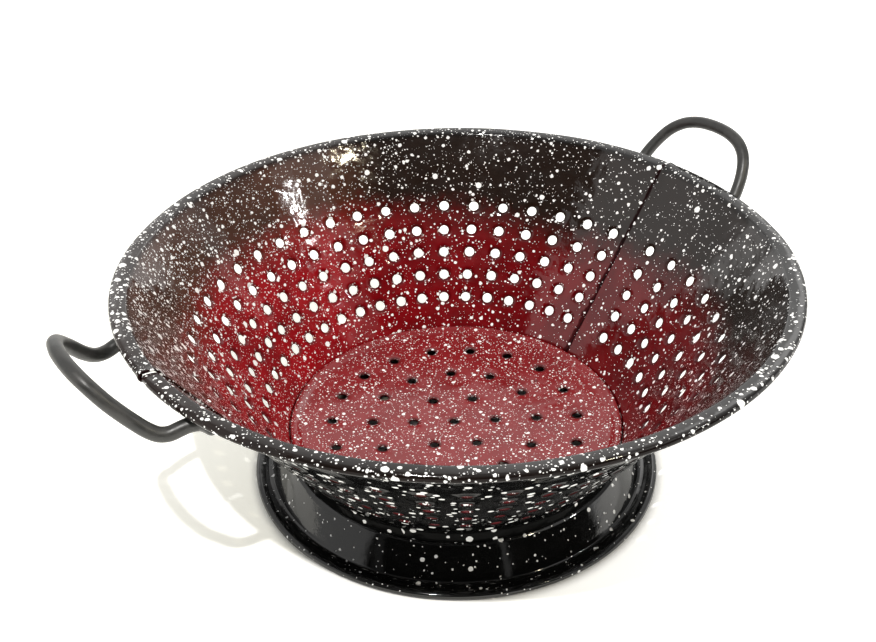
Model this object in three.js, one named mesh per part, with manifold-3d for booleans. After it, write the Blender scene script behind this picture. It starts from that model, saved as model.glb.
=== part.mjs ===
// Footed enamelware colander: two lapped wall panels, a dished perforated bottom disc,
// a flared foot ring and two bent-wire handles.
// Millimetres, +Z up. The origin is on the bowl's axis at the height of the table;
// the two handles lie along -X and +X, and the front is -Y.
// An azimuth of 0 points to -Y and grows towards +X.
import * as THREE from "three";
import { mergeVertices } from "three/addons/utils/BufferGeometryUtils.js";
import Module from "manifold-3d";

const wasm = await Module();
wasm.setup();

// ---- driving dimensions ----
const RIM_RADIUS = 150; // outer radius of the rolled rim
const RIM_HEIGHT = 109.5; // height of the rim roll's centre above the table
const SHEET = 1.2; // enamelled sheet, measured square to its surface
const WALL_SLOPE = 0.71; // growth of the wall's radius with height
const WALL_RADIUS_AT_RIM = 141.4; // the inner cone carried up to RIM_HEIGHT
const GAP = 0.4; // clearance between neighbouring sheets
const SEGMENTS = 48; // facets round the axis

const DISC_RADIUS = 80.2;
const DISC_CENTRE_HEIGHT = 20.39;
const DISC_DISH = 0.00052; // height gained per square millimetre of radius

const SEAM_FRONT_RIM = 95.1; // azimuth of the lap edge of the front panel, at the rim
const SEAM_FRONT_FLOOR = 96.7; // and where it meets the bottom disc
const SEAM_BACK_RIM = 271.1; // the same for the back panel's lap edge
const SEAM_BACK_FLOOR = 272.7;
const LAP = 6; // width of the tab tucked behind the other panel
const JOGGLE = 2;

const WALL_HOLE_RADIUS = 2.4; // across corners, for six-sided holes
const HOLE_ROWS = [119.1, 111.5, 104.4, 97.2, 90.0]; // inner radius at each row
const HOLES_PER_ROW = 22; // on each panel
const HOLE_REFERENCE = 91.65; // azimuth that the hole columns are counted from
const BACK_MARGIN = 16.7; // arc from that reference to a panel's first column
const FRONT_MARGIN = 8.65;
const FRONT_PITCH_FACTOR = 0.9945;

const FLOOR_HOLE_RADIUS = 2.3;
// Drain holes of the bottom disc: one, six, twelve and eighteen in rings, punched by eye.
const FLOOR_HOLES = [
  [-0.5, 0.4], [-1.9, -19.6], [16.3, -10.5], [17.7, 9.7], [0.8, 20.0],
  [-16.9, 11.5], [-18.9, -8.7], [17.4, -36.7], [32.9, -21.9], [40.3, -1.6],
  [35.8, 18.9], [21.5, 33.2], [1.6, 39.7], [-17.9, 36.1], [-33.4, 22.7],
  [-40.8, 2.8], [-35.9, -18.1], [-22.0, -33.6], [-2.2, -40.1], [16.6, -57.3],
  [34.6, -49.2], [49.1, -33.2], [57.9, -13.3], [60.2, 8.0], [54.0, 27.3],
  [41.1, 42.5], [23.8, 53.8], [3.4, 58.8], [-16.6, 56.7], [-35.1, 48.2],
  [-49.5, 34.1], [-58.7, 15.3], [-59.3, -6.4], [-53.5, -26.3], [-41.3, -43.0],
  [-24.1, -54.6], [-4.0, -59.5],
];

const WIRE_RADIUS = 3;
const WIRE_SIDES = 8;
const WIRE_STEPS = 40;
const LEFT_HANDLE_AZIMUTH = -91.9;
const RIGHT_HANDLE_AZIMUTH = 91.9;
// Half of each handle, from the foot that lies along the wall to the middle of the grip:
// distance from the axis along the handle's own azimuth, distance to the side, height.
const LEFT_HANDLE = [
  [135.1, 42.6, 102.0], [136.35, 38.9, 102.1], [138.1, 35.9, 102.2], [141.8, 34.3, 102.1],
  [145.5, 33.6, 101.4], [149.2, 32.9, 100.5], [152.8, 31.7, 100.9], [156.2, 29.6, 103.0],
  [160.4, 26.8, 107.4], [166.2, 23.4, 114.8], [171.6, 16.2, 122.3], [173.7, 7.5, 124.8],
  [174.2, 0, 125.3],
];
const RIGHT_HANDLE = [
  [135.9, 40.2, 101.8], [137.1, 36.3, 101.9], [138.9, 33.2, 102.1], [143.2, 31.8, 102.4],
  [148.7, 31.4, 103.4], [153.2, 30.8, 106.5], [156.4, 29.9, 110.4], [159.3, 28.6, 114.0],
  [162.0, 26.9, 117.5], [164.4, 24.8, 120.6], [166.6, 21.8, 123.5], [168.7, 17.0, 126.3],
  [170.2, 9.5, 128.4], [170.7, 0, 129.1],
];

// ---- helpers ----
const rad = (degrees) => (degrees * Math.PI) / 180;
const coneRadius = (z) => WALL_RADIUS_AT_RIM + WALL_SLOPE * (z - RIM_HEIGHT);
const coneHeight = (r) => RIM_HEIGHT + (r - WALL_RADIUS_AT_RIM) / WALL_SLOPE;
const WALL_ANGLE = Math.atan(WALL_SLOPE); // from the vertical
const SHEET_ACROSS = SHEET / Math.cos(WALL_ANGLE); // sheet measured level through the cone

// A point on the plan, from its distance to the axis and its azimuth.
function plan(radius, azimuth) {
  return new THREE.Vector2(
    radius * Math.sin(rad(azimuth)),
    -radius * Math.cos(rad(azimuth)),
  );
}

// A closed geometry as a solid: only its positions are kept, and slivers with two equal corners go.
function solid(geometry) {
  const g = geometry.clone();
  g.deleteAttribute("normal");
  g.deleteAttribute("uv");
  const merged = mergeVertices(g, 1e-3);
  const index = merged.index.array;
  const kept = [];
  for (let i = 0; i < index.length; i += 3) {
    const [a, b, c] = [index[i], index[i + 1], index[i + 2]];
    if (a !== b && b !== c && a !== c) kept.push(a, b, c);
  }
  const build = (triVerts) =>
    new wasm.Manifold(
      new wasm.Mesh({
        numProp: 3,
        vertProperties: merged.attributes.position.array,
        triVerts: new Uint32Array(triVerts),
      }),
    );
  const made = build(kept);
  if (made.volume() > 0) return made;
  const turned = [];
  for (let i = 0; i < kept.length; i += 3)
    turned.push(kept[i], kept[i + 2], kept[i + 1]);
  return build(turned);
}

// A ring or disc turned from its section, a closed list of [radius, height].
function turnedSolid(section) {
  const points = section.map(([r, z]) => new THREE.Vector2(r, z));
  points.push(points[0].clone());
  const g = new THREE.LatheGeometry(points, SEGMENTS);
  g.rotateX(Math.PI / 2);
  return solid(g);
}

// A prism over a plan outline, tall enough to cut the whole bowl.
function prism(outline) {
  const g = new THREE.ExtrudeGeometry(new THREE.Shape(outline), {
    depth: 200,
    bevelEnabled: false,
    steps: 1,
  });
  g.translate(0, 0, -20);
  return solid(g);
}

// The line on the plan along a lap edge, moved sideways by shift towards larger azimuth.
function seamLine(atRim, atFloor, shift) {
  const outer = plan(145, atRim);
  const inner = plan(80, atFloor);
  const along = outer.clone().sub(inner).normalize();
  const side = new THREE.Vector2(-along.y, along.x).multiplyScalar(shift);
  return {
    far: outer.clone().addScaledVector(along, 150).add(side),
    near: inner.clone().addScaledVector(along, -45).add(side),
  };
}

// The plan region from one seam line round to the other, by increasing azimuth.
function sector(from, to, midAzimuths) {
  return prism([
    from.near,
    from.far,
    ...midAzimuths.map((a) => plan(320, a)),
    to.far,
    to.near,
  ]);
}

function holeCutter(holes) {
  let cutter = null;
  for (const { position, direction, radius, length } of holes) {
    const g = new THREE.CylinderGeometry(radius, radius, length, 6, 1);
    g.applyQuaternion(
      new THREE.Quaternion().setFromUnitVectors(
        new THREE.Vector3(0, 1, 0),
        direction,
      ),
    );
    g.translate(position.x, position.y, position.z);
    const one = solid(g);
    cutter = cutter ? cutter.add(one) : one;
  }
  return cutter;
}

// ---- wall panels ----
// The sheet runs up the cone, rolls outwards over the rim and ends in a lip that hangs clear of the wall.
const z0 = RIM_HEIGHT;
const wallSection = [
  [80.6, 17.8], [81.8, 17.8], [81.8, 23.4], [coneRadius(25.2) + SHEET_ACROSS, 25.2],
  [coneRadius(z0 - 2) + SHEET_ACROSS, z0 - 2], [143.3, z0 + 0.4],
  [146.0, z0 + 1.6], [148.2, z0 + 0.9], [148.5, z0 - 0.5], [147.2, z0 - 1.0],
  [147.2, z0 - 2.2], [149.2, z0 - 1.8], [RIM_RADIUS, z0 - 0.2], [149.2, z0 + 1.6],
  [147.4, z0 + 2.75], [145.2, z0 + 2.8], [142.9, z0 + 1.85],
  [coneRadius(z0 - 1.6), z0 - 1.6],
  [coneRadius(25.4), 25.4], [80.6, 23.8],
];
const tabOffset = SHEET_ACROSS + GAP;
const coneBand = (inner, outer, low, high) => [
  [coneRadius(low) + inner, low], [coneRadius(low) + outer, low],
  [coneRadius(high) + outer, high], [coneRadius(high) + inner, high],
];
const TAB_LOW = 27;
const TAB_HIGH = 103;
const wallRing = turnedSolid(wallSection);
const tabRing = turnedSolid(
  coneBand(tabOffset, tabOffset + SHEET_ACROSS, TAB_LOW, TAB_HIGH),
);
const joggleRing = turnedSolid(
  coneBand(SHEET_ACROSS * 0.5, tabOffset + SHEET_ACROSS, TAB_LOW, TAB_HIGH),
);

// A panel ends in its own lap edge at one seam, and in a tab behind the other panel's lap edge at the other.
function wallPanel(lapEdge, otherEdge, direction, middle) {
  const own = seamLine(...lapEdge, 0);
  const cut = seamLine(...otherEdge, direction * GAP);
  const joggleEnd = seamLine(...otherEdge, direction * (GAP + JOGGLE));
  const tabEnd = seamLine(...otherEdge, -direction * LAP);
  const body = wallRing.intersect(sector(cut, own, middle));
  const strip = (a, b) => prism([a.near, a.far, b.far, b.near]);
  const tab = tabRing.intersect(strip(tabEnd, joggleEnd));
  const joggle = joggleRing.intersect(strip(cut, joggleEnd));
  return body.add(tab).add(joggle);
}

function wallHoles(start, step) {
  const holes = [];
  HOLE_ROWS.forEach((r) => {
    for (let i = 0; i < HOLES_PER_ROW; i++) {
      const azimuth = start(r) + i * step(r);
      const p = plan(r + SHEET_ACROSS / 2, azimuth);
      holes.push({
        position: new THREE.Vector3(p.x, p.y, coneHeight(r)),
        direction: new THREE.Vector3(
          Math.cos(WALL_ANGLE) * Math.sin(rad(azimuth)),
          -Math.cos(WALL_ANGLE) * Math.cos(rad(azimuth)),
          -Math.sin(WALL_ANGLE),
        ),
        radius: WALL_HOLE_RADIUS,
        length: 6,
      });
    }
  });
  return holes;
}
const margin = (m, r) => (m / r) * (180 / Math.PI);
const pitch = (m, r) => (180 - 2 * margin(m, r)) / (HOLES_PER_ROW - 1);

const frontPanel = wallPanel(
  [SEAM_FRONT_RIM, SEAM_FRONT_FLOOR],
  [SEAM_BACK_RIM - 360, SEAM_BACK_FLOOR - 360],
  1,
  [-60, -30, 0, 30, 60],
).subtract(
  holeCutter(
    wallHoles(
      (r) => HOLE_REFERENCE - margin(FRONT_MARGIN, r),
      (r) => -pitch(FRONT_MARGIN, r) * FRONT_PITCH_FACTOR,
    ),
  ),
);
const backPanel = wallPanel(
  [SEAM_BACK_RIM, SEAM_BACK_FLOOR],
  [SEAM_FRONT_RIM, SEAM_FRONT_FLOOR],
  1,
  [120, 150, 180, 210, 240],
).subtract(
  holeCutter(
    wallHoles(
      (r) => HOLE_REFERENCE + margin(BACK_MARGIN, r),
      (r) => pitch(BACK_MARGIN, r),
    ),
  ),
);

// ---- bottom disc ----
// Gently dished, with a raised edge and a flange turned down inside the wall's collar.
const dish = (r) => DISC_CENTRE_HEIGHT + DISC_DISH * r * r;
const discSection = [
  [0, dish(0) - SHEET], [42, dish(42) - SHEET], [74, dish(74) - SHEET],
  [79.0, 23.1], [79.0, 18.5], [DISC_RADIUS, 18.5],
  [DISC_RADIUS, 23.9], [78.9, 24.75], [77.2, 24.4], [75, 23.4],
  [42, dish(42)], [0, dish(0)],
];
const bottomDisc = turnedSolid(discSection).subtract(
  holeCutter(
    FLOOR_HOLES.map(([x, y]) => ({
      position: new THREE.Vector3(x, y, dish(Math.hypot(x, y)) - SHEET / 2),
      direction: new THREE.Vector3(0, 0, 1),
      radius: FLOOR_HOLE_RADIUS,
      length: 6,
    })),
  ),
);

// ---- foot ring ----
// A neck inside the disc's flange, a flared skirt, a hollow and a rolled edge that stands on the table.
const footRing = turnedSolid([
  [77.4, 22.3], [77.4, 16.2], [80.9, 16.0], [88.7, 2.2], [90.4, 1.0],
  [94.3, 1.2], [95.6, 0], [97.4, 0], [98.5, 1.2], [98.2, 2.9], [96.4, 3.75],
  [93.9, 3.3], [92.3, 2.25], [90.2, 2.5], [82.3, 16.5], [81.2, 17.4],
  [78.6, 17.4], [78.6, 22.3],
]);

// ---- wire handles ----
// Round wire whose feet lie along the outside of the wall, just under the rim.
function wireHandle(half, azimuth) {
  const along = plan(1, azimuth);
  const side = new THREE.Vector2(-along.y, along.x);
  const place = ([out, across, z], sign) =>
    new THREE.Vector3(
      along.x * out + side.x * across * sign,
      along.y * out + side.y * across * sign,
      z,
    );
  const points = [
    ...half.map((p) => place(p, 1)),
    ...half.slice(0, -1).reverse().map((p) => place(p, -1)),
  ];
  const section = new THREE.Shape(
    Array.from({ length: WIRE_SIDES }, (_, i) => {
      const a = ((i + 0.5) / WIRE_SIDES) * 2 * Math.PI;
      return new THREE.Vector2(
        WIRE_RADIUS * Math.cos(a),
        WIRE_RADIUS * Math.sin(a),
      );
    }),
  );
  return new THREE.ExtrudeGeometry(section, {
    steps: WIRE_STEPS,
    bevelEnabled: false,
    extrudePath: new THREE.CatmullRomCurve3(points, false, "centripetal"),
  });
}

// ---- assembly ----
function geometryOf(made) {
  const mesh = made.getMesh();
  const n = mesh.numProp;
  const position = new Float32Array(mesh.numVert * 3);
  for (let i = 0; i < mesh.numVert; i++)
    position.set(mesh.vertProperties.subarray(i * n, i * n + 3), i * 3);
  return new THREE.BufferGeometry()
    .setAttribute("position", new THREE.BufferAttribute(position, 3))
    .setIndex(new THREE.BufferAttribute(mesh.triVerts, 1));
}

const group = new THREE.Group();
function piece(name, geometry, color, roughness, metalness) {
  const mesh = new THREE.Mesh(
    geometry,
    new THREE.MeshStandardMaterial({
      color: new THREE.Color(...color),
      roughness,
      metalness,
    }),
  );
  mesh.name = name;
  group.add(mesh);
}
piece("wall_panel_front", geometryOf(frontPanel), [0.22, 0.01, 0.012], 0.16, 0);
piece("wall_panel_back", geometryOf(backPanel), [0.2, 0.009, 0.011], 0.16, 0);
piece("bottom_disc", geometryOf(bottomDisc), [0.34, 0.06, 0.07], 0.2, 0);
piece("foot_ring", geometryOf(footRing), [0.012, 0.013, 0.012], 0.14, 0);
piece("handle_left", wireHandle(LEFT_HANDLE, LEFT_HANDLE_AZIMUTH), [0.03, 0.03, 0.028], 0.4, 0.1);
piece("handle_right", wireHandle(RIGHT_HANDLE, RIGHT_HANDLE_AZIMUTH), [0.028, 0.028, 0.027], 0.42, 0.1);

export default group;
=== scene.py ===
"""Footed enamelware colander: fine meshes, speckled enamel, floor, light and camera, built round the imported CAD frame."""

import math

import bmesh
import bpy
import numpy as np
from mathutils import Matrix, Vector, geometry, noise


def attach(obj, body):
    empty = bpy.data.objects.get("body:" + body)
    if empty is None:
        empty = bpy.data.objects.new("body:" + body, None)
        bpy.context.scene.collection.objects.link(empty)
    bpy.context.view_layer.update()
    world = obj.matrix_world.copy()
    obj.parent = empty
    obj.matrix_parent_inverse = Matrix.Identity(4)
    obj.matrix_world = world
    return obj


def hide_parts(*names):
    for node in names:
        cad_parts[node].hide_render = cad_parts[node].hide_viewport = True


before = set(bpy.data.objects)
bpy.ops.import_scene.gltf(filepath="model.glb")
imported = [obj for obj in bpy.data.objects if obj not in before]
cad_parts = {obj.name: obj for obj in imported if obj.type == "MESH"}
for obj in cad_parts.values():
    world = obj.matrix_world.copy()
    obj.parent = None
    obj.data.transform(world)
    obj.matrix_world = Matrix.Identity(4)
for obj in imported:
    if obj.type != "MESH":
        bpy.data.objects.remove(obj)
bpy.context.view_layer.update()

# ---------------------------------------------------------------- dimensions, in millimetres, as in the CAD model
MM = 0.001
Z0 = 109.5  # height of the rim roll's centre
SHEET = 1.2
SLOPE = 0.71
CONE_AT_Z0 = 141.4
HOLE_ROWS = [90.0, 97.2, 104.4, 111.5, 119.1]  # from the bottom row up
ROW_BORDERS = [86.4, 93.6, 100.8, 107.95, 115.3, 122.9]
HOLE_REF = 91.65
FLOOR_HOLES = [
    (-0.5, 0.4), (-1.9, -19.6), (16.3, -10.5), (17.7, 9.7), (0.8, 20.0),
    (-16.9, 11.5), (-18.9, -8.7), (17.4, -36.7), (32.9, -21.9), (40.3, -1.6),
    (35.8, 18.9), (21.5, 33.2), (1.6, 39.7), (-17.9, 36.1), (-33.4, 22.7),
    (-40.8, 2.8), (-35.9, -18.1), (-22.0, -33.6), (-2.2, -40.1), (16.6, -57.3),
    (34.6, -49.2), (49.1, -33.2), (57.9, -13.3), (60.2, 8.0), (54.0, 27.3),
    (41.1, 42.5), (23.8, 53.8), (3.4, 58.8), (-16.6, 56.7), (-35.1, 48.2),
    (-49.5, 34.1), (-58.7, 15.3), (-59.3, -6.4), (-53.5, -26.3), (-41.3, -43.0),
    (-24.1, -54.6), (-4.0, -59.5),
]
LEFT_HANDLE = [
    (135.1, 42.6, 102.0), (136.35, 38.9, 102.1), (138.1, 35.9, 102.2), (141.8, 34.3, 102.1),
    (145.5, 33.6, 101.4), (149.2, 32.9, 100.5), (152.8, 31.7, 100.9), (156.2, 29.6, 103.0),
    (160.4, 26.8, 107.4), (166.2, 23.4, 114.8), (171.6, 16.2, 122.3), (173.7, 7.5, 124.8),
    (174.2, 0.0, 125.3),
]
RIGHT_HANDLE = [
    (135.9, 40.2, 101.8), (137.1, 36.3, 101.9), (138.9, 33.2, 102.1), (143.2, 31.8, 102.4),
    (148.7, 31.4, 103.4), (153.2, 30.8, 106.5), (156.4, 29.9, 110.4), (159.3, 28.6, 114.0),
    (162.0, 26.9, 117.5), (164.4, 24.8, 120.6), (166.6, 21.8, 123.5), (168.7, 17.0, 126.3),
    (170.2, 9.5, 128.4), (170.7, 0.0, 129.1),
]


# ---------------------------------------------------------------- small helpers
def smooth(x, a, b):
    t = min(1.0, max(0.0, (x - a) / (b - a)))
    return t * t * (3 - 2 * t)


def chance(*key):
    """A number from 0 to 1 that depends only on its key."""
    h = math.sin(sum((i + 1) * 12.9898 * k for i, k in enumerate(key)) + 4.137) * 43758.5453
    return h - math.floor(h)


def polar(r, az, z):
    a = math.radians(az)
    return (r * math.sin(a), -r * math.cos(a), z)


def waviness(p, amount=1.0):
    """Slow unevenness of thin pressed sheet, in millimetres."""
    v = Vector(p)
    return amount * (
        0.16 * noise.noise(v / 38.0 + Vector((3.1, 7.7, 1.3)))
        + 0.07 * noise.noise(v / 15.0 + Vector((9.2, 0.4, 5.5)))
    )


class Mesh:
    """Collects vertices in millimetres with named numbers on each, then makes the object in metres."""

    def __init__(self, names=()):
        self.co, self.faces, self.values = [], [], {n: [] for n in names}

    def vertex(self, p, **values):
        self.co.append(p)
        for n, kept in self.values.items():
            kept.append(values.get(n, 0.0))
        return len(self.co) - 1

    def quad(self, a, b, c, d):
        self.faces.append((a, b, c, d))

    def strip(self, one, two, closed=False):
        n = len(one)
        for i in range(n if closed else n - 1):
            k = (i + 1) % n
            self.faces.append((one[i], one[k], two[k], two[i]))

    def make(self, name):
        mesh = bpy.data.meshes.new(name)
        co = np.array(self.co, float) * MM
        mesh.from_pydata(co.tolist(), [], self.faces)
        for n, kept in self.values.items():
            mesh.attributes.new(n, "FLOAT", "POINT").data.foreach_set(
                "value", np.array(kept, np.float32)
            )
        mesh.update()
        # every piece is one closed surface: make its faces agree, then turn it so that its volume is positive
        bm = bmesh.new()
        bm.from_mesh(mesh)
        bmesh.ops.recalc_face_normals(bm, faces=bm.faces)
        bm.to_mesh(mesh)
        bm.free()
        mesh.calc_loop_triangles()
        tri = np.empty(len(mesh.loop_triangles) * 3, np.int32)
        mesh.loop_triangles.foreach_get("vertices", tri)
        tri = tri.reshape(-1, 3)
        a, b, c = co[tri[:, 0]], co[tri[:, 1]], co[tri[:, 2]]
        if (np.cross(a, b) * c).sum() < 0:
            mesh.flip_normals()
        mesh.polygons.foreach_set("use_smooth", [True] * len(mesh.polygons))
        mesh.update()
        made = bpy.data.objects.new(name, mesh)
        bpy.context.scene.collection.objects.link(made)
        return made


# ---------------------------------------------------------------- the wall sheet's section
def wall_path():
    """Length, radius, height and heading along the food side of the sheet: collar, cone, then the rolled rim."""
    r, z, h, s = 80.6, 17.8, 90.0, 0.0
    rows = [(s, r, z, h)]

    def line(length, step=0.5):
        nonlocal r, z, s
        n = max(1, round(length / step))
        for _ in range(n):
            r += length / n * math.cos(math.radians(h))
            z += length / n * math.sin(math.radians(h))
            s += length / n
            rows.append((s, r, z, h))

    def arc(turn, radius):
        nonlocal r, z, h, s
        n = max(4, round(turn / 2.0))
        for _ in range(n):
            d = turn / n
            chord = 2 * radius * math.sin(math.radians(d / 2))
            r += chord * math.cos(math.radians(h - d / 2))
            z += chord * math.sin(math.radians(h - d / 2))
            h -= d
            s += math.radians(d) * radius
            rows.append((s, r, z, h))

    bend = math.degrees(math.atan(SLOPE))
    corner = Z0 + (80.6 - CONE_AT_Z0) / SLOPE
    line(corner - 2.5 * math.tan(math.radians(bend / 2)) - 17.8)
    arc(bend, 2.5)
    line((110.833 - z) / math.sin(math.radians(h)))
    arc(40, 2.2)
    arc(h, 17.4)
    arc(90, 1.9)
    arc(90, 1.75)
    line(0.8, 0.4)
    return np.array(rows)


PATH = wall_path()
PATH_END = float(PATH[-1, 0])


def section(q):
    r = float(np.interp(q, PATH[:, 0], PATH[:, 1]))
    z = float(np.interp(q, PATH[:, 0], PATH[:, 2]))
    h = math.radians(float(np.interp(q, PATH[:, 0], PATH[:, 3])))
    return r, z, -math.sin(h), math.cos(h)


_UP = PATH[PATH[:, 3] > 50]  # the rising part of the path


def _q_by_height(z):
    return float(np.interp(z, _UP[:, 2], _UP[:, 0]))


def seam_azimuth(r, at_rim, at_floor):
    """Azimuth of a straight lap edge on the plan, between radius 145 and radius 80."""
    x1, y1, _ = polar(145, at_rim, 0)
    x0, y0, _ = polar(80, at_floor, 0)
    lo, hi = -0.3, 1.3
    for _ in range(40):
        t = (lo + hi) / 2
        if math.hypot(x0 + t * (x1 - x0), y0 + t * (y1 - y0)) < r:
            lo = t
        else:
            hi = t
    a = math.degrees(math.atan2(x0 + t * (x1 - x0), -(y0 + t * (y1 - y0))))
    return a + round((at_rim - a) / 360) * 360


def seam_waver(z, key):
    """Hand-cut edges aren't quite straight: a small shift in millimetres."""
    return 0.22 * noise.noise(Vector((z / 9.0, key, 0.5))) + 0.10 * noise.noise(Vector((z / 3.1, key, 2.5)))


PANELS = {
    # sign of travel, margin, pitch factor, seam where it starts, seam where it ends, which end lies on top, outer cell borders
    "front": dict(sign=-1, margin=8.65, factor=0.9945, start=(95.1, 96.7), end=(-88.9, -87.3), top="start", first=-0.5, last=21.4),
    "back": dict(sign=1, margin=16.7, factor=1.0, start=(95.1, 96.7), end=(271.1, 272.7), top="end", first=-0.42, last=21.5),
}
NX, NY = 8, 6


def around(az, knots):
    """A value that eases between knots (azimuth, value) round the bowl."""
    a = (az - knots[0][0]) % 360 + knots[0][0]
    for (a0, v0), (a1, v1) in zip(knots, knots[1:]):
        if a <= a1:
            return v0 + (v1 - v0) * smooth(a, a0, a1)
    return knots[-1][1]


# height at which red turns to black, strength of the red and share of brown in the black, by azimuth
TURN = [(45, 75.5), (73, 76), (90, 71.5), (113, 67), (125, 70), (140, 75), (155, 74), (169, 80), (215, 80.5), (245, 79), (320, 77), (405, 75.5)]
REDNESS = [(45, 0.098), (95, 0.103), (114, 0.125), (135, 0.132), (150, 0.145), (163, 0.16), (184, 0.25), (245, 0.255), (320, 0.17), (405, 0.098)]
BROWNNESS = [(45, 0.04), (160, 0.10), (178, 0.85), (188, 0.85), (205, 0.62), (228, 0.85), (250, 0.95), (320, 0.4), (405, 0.04)]


# the rim isn't quite round, and its crown shines less in front
OUT_OF_ROUND = [(-60, 0), (0, 0.3), (30, 0.6), (58, 0.6), (72, 0), (112, 0), (131, -1.2), (160, -1.6), (215, -1.5), (244, 0), (300, 0)]
CROWN = [(-112, 0.0), (-88, 0.62), (-45, 0.62), (-24, 0.0), (248, 0.0)]


def fade_amount(az, z, p):
    """0 where the inside is red, 1 where it is black."""
    above = z - around(az, TURN) - 2.6 * noise.noise(Vector(p) / 20.0)
    return min(1.0, max(0.0, above / (34.0 if above < 0 else 25.0) + 0.5))


def wall_panel(name, spec):
    m = Mesh(("inside", "halo", "fade", "high", "warm", "seam", "redness", "brown", "under"))
    sign, key = spec["sign"], 1.7 if name == "front" else 4.9

    def rail(c, r):
        r = min(124.0, max(86.0, r))
        edge = math.degrees(spec["margin"] / r)
        return HOLE_REF + sign * (edge + c * (180 - 2 * edge) / 21 * spec["factor"])

    # rows: lengths along the section
    borders = [_q_by_height(Z0 + (r - CONE_AT_Z0) / SLOPE) for r in ROW_BORDERS]
    rows = [0.6, 1.6, 3.2, 4.6, 5.5, 6.1, 6.7, 7.4]
    rows += list(np.linspace(7.4, borders[0], 4)[1:-1])
    first_row = len(rows)
    for a, b in zip(borders, borders[1:]):
        rows += list(np.linspace(a, b, NY + 1)[:-1])
    rows.append(borders[-1])
    last_row = len(rows) - 1
    cone_end = _q_by_height(109.3)
    rows += list(np.linspace(borders[-1], cone_end, 15)[1:])
    rows += list(np.linspace(cone_end, PATH_END - 0.6, 48)[1:])
    n_rows = len(rows)
    sect = [section(q) for q in rows]

    # columns
    top_dist = [0.6, 1.1, 1.8, 2.8, 4.2, 5.8]
    tab_dist = [-5.4, -4.2, -2.9, -1.7, -0.7, 0.0, 0.5, 1.0]
    flush_dist = [0.72, 0.76, 0.80, 0.84, 0.88, 0.92, 0.96, 1.0]
    columns = []
    start_kind = "top" if spec["top"] == "start" else "tab"
    end_kind = "tab" if start_kind == "top" else "top"
    for kind, where in ((start_kind, "start"),):
        columns += [(kind, where, k) for k in range(len(top_dist if kind == "top" else tab_dist))]
    cell_first = len(columns)
    for k in range(22):
        a = spec["first"] if k == 0 else k - 0.5
        b = spec["last"] if k == 21 else k + 0.5
        columns += [("cell", a + (b - a) * t / NX, None) for t in range(NX)]
    columns.append(("cell", spec["last"], None))
    cell_last = len(columns) - 1
    count = len(top_dist if end_kind == "top" else tab_dist)
    columns += [(end_kind, "end", k) for k in reversed(range(count))]
    n_cols = len(columns)

    az = np.zeros((n_cols, n_rows))
    disp = np.zeros((n_cols, n_rows))
    seam = np.zeros((n_cols, n_rows))
    for i, (r, z, _, _) in enumerate(sect):
        rs = min(145.0, max(80.0, r))
        tabbed = smooth(z, 25.5, 27.5) * (1 - smooth(z, 102.0, 105.0)) if rows[i] < cone_end else 0.0
        ends = {}
        for where in ("start", "end"):
            a = seam_azimuth(rs, *spec[where])
            a += math.degrees(seam_waver(z, 1.0 if a % 360 < 180 else 2.0) / rs) * (1 if rows[i] < cone_end else 0)
            ends[where] = a
        for j, (kind, x, k) in enumerate(columns):
            if kind == "cell":
                az[j, i] = rail(x, r)
            else:
                if kind == "top":
                    d = top_dist[k]
                else:
                    d = flush_dist[k] + tabbed * (tab_dist[k] - flush_dist[k])
                az[j, i] = ends[x] + sign * (1 if x == "start" else -1) * math.degrees(d / r)
        for j in range(n_cols):
            for where in ("start", "end"):
                d = abs(az[j, i] - ends[where]) * math.radians(1) * r
                if (az[j, i] - ends[where]) * sign * (1 if where == "start" else -1) < 0:
                    d = -d
                kind = start_kind if where == "start" else end_kind
                seam[j, i] = max(seam[j, i], 1 - smooth(d, 0.4, 1.0) if kind == "top" else 1 - smooth(d, 0.1, 2.5))
                if kind == "top":
                    disp[j, i] += 0.50 * (1 - smooth(d, 0.0, 4.8))
                else:
                    disp[j, i] -= 0.50 * (1 - smooth(d, 0.0, 3.6)) + tabbed * 0.75 * (1 - smooth(d, -1.6, 0.1))

    def point(a, q, side, lift, sec=None):
        r, z, nr, nz = sec or section(q)
        base = polar(r + around(a, OUT_OF_ROUND) * smooth(z, 72.0, 109.0), a, z)
        t = math.radians(a)
        wave = waviness(base, 1.0 - 0.4 * smooth(q, cone_end - 3, cone_end + 3))
        w = lift + wave - (SHEET if side == 0 else 0.0)
        return (base[0] + nr * math.sin(t) * w, base[1] - nr * math.cos(t) * w, base[2] + nz * w)

    def values(a, q, side, halo, sec=None):
        r, z, nr, nz = sec or section(q)
        fade = fade_amount(a, z, polar(r, a, z)) if side > 0 else 1.0
        warm = (0.5 - 0.5 * math.sin(math.radians(a))) ** 1.2
        return dict(
            inside=side, halo=halo, fade=fade, high=smooth(q, cone_end - 1, cone_end + 3), warm=warm,
            redness=around(a, REDNESS), brown=around(a, BROWNNESS),
            under=max(smooth(-nz, -0.75, -0.2), around(a, CROWN)) if q > cone_end else 0.0,
        )

    grid = {}

    def at(j, i, side):
        key = (j, i, side)
        if key not in grid:
            grid[key] = m.vertex(
                point(az[j, i], rows[i], side, disp[j, i], sect[i]),
                seam=seam[j, i] * side,
                **values(az[j, i], rows[i], side, 0.0, sect[i]),
            )
        return grid[key]

    # plain sheet, both faces
    for j in range(n_cols - 1):
        for i in range(n_rows - 1):
            if cell_first <= j < cell_last and first_row <= i < last_row:
                continue
            for side in (1, 0):
                m.quad(at(j, i, side), at(j + 1, i, side), at(j + 1, i + 1, side), at(j, i + 1, side))

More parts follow.
